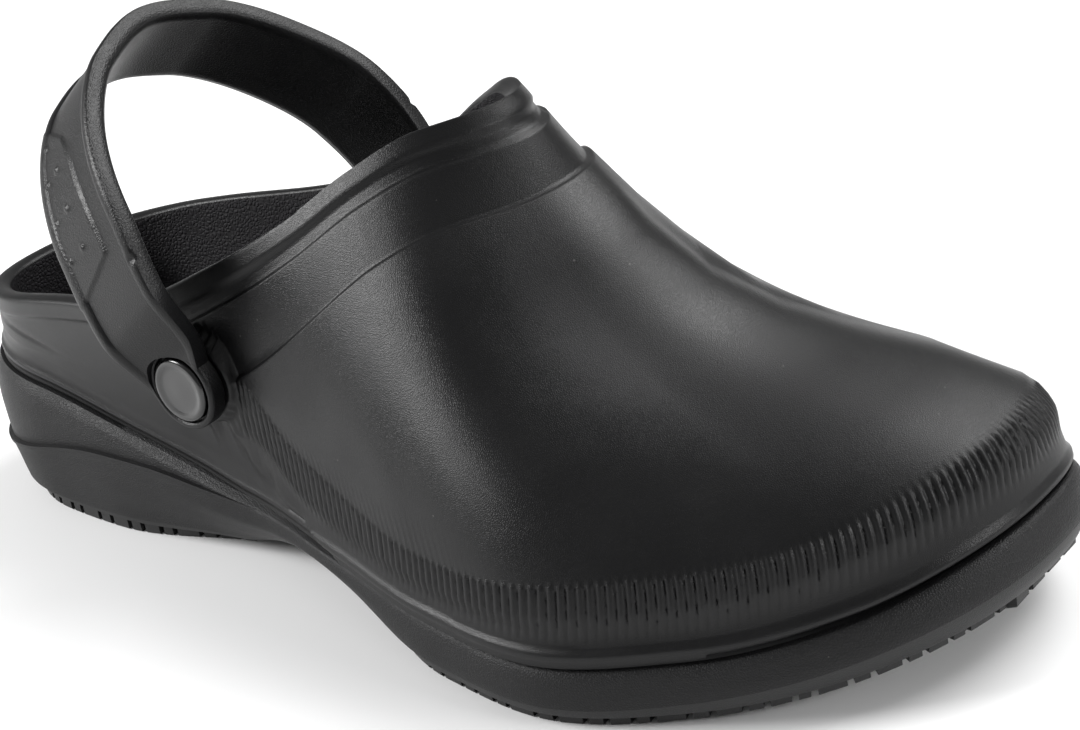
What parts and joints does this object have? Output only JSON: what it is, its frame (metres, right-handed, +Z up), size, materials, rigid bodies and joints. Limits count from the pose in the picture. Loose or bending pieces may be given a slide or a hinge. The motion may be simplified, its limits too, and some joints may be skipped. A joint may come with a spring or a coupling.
{
  "type": "work shoe",
  "caption": "Slip-resistant moulded work clog for the right foot, with a closed toe, open back, swivel heel strap and lugged rubber sole.",
  "frame": {"origin": "centre of the bounding box's underside, on the floor plane that the lugs stand on", "axes": "+X from heel to toe, +Y towards the inner (medial) side of the foot, +Z up"},
  "size_m": [0.2984, 0.118, 0.1292],
  "materials": {
    "outsole_rubber": "matte black slip-resistant rubber",
    "midsole_foam": "matte black foam with a coarse moulded grain",
    "upper_foam": "satin black foam with a fine leather-like grain",
    "strap_foam": "satin black foam, pebbled near the rivets",
    "insole_foam": "charcoal, nubby",
    "rivet_plastic": "glossy black"
  },
  "bodies": {
    "root": {"outsole": "outsole_rubber", "midsole": "midsole_foam", "insole": "insole_foam", "upper": "upper_foam", "heel_strap": "strap_foam", "rivet_stud_lateral": "rivet_plastic", "rivet_stud_medial": "rivet_plastic", "rivet_washer_lateral": "rivet_plastic", "rivet_washer_medial": "rivet_plastic"}
  },
  "joints": []
}
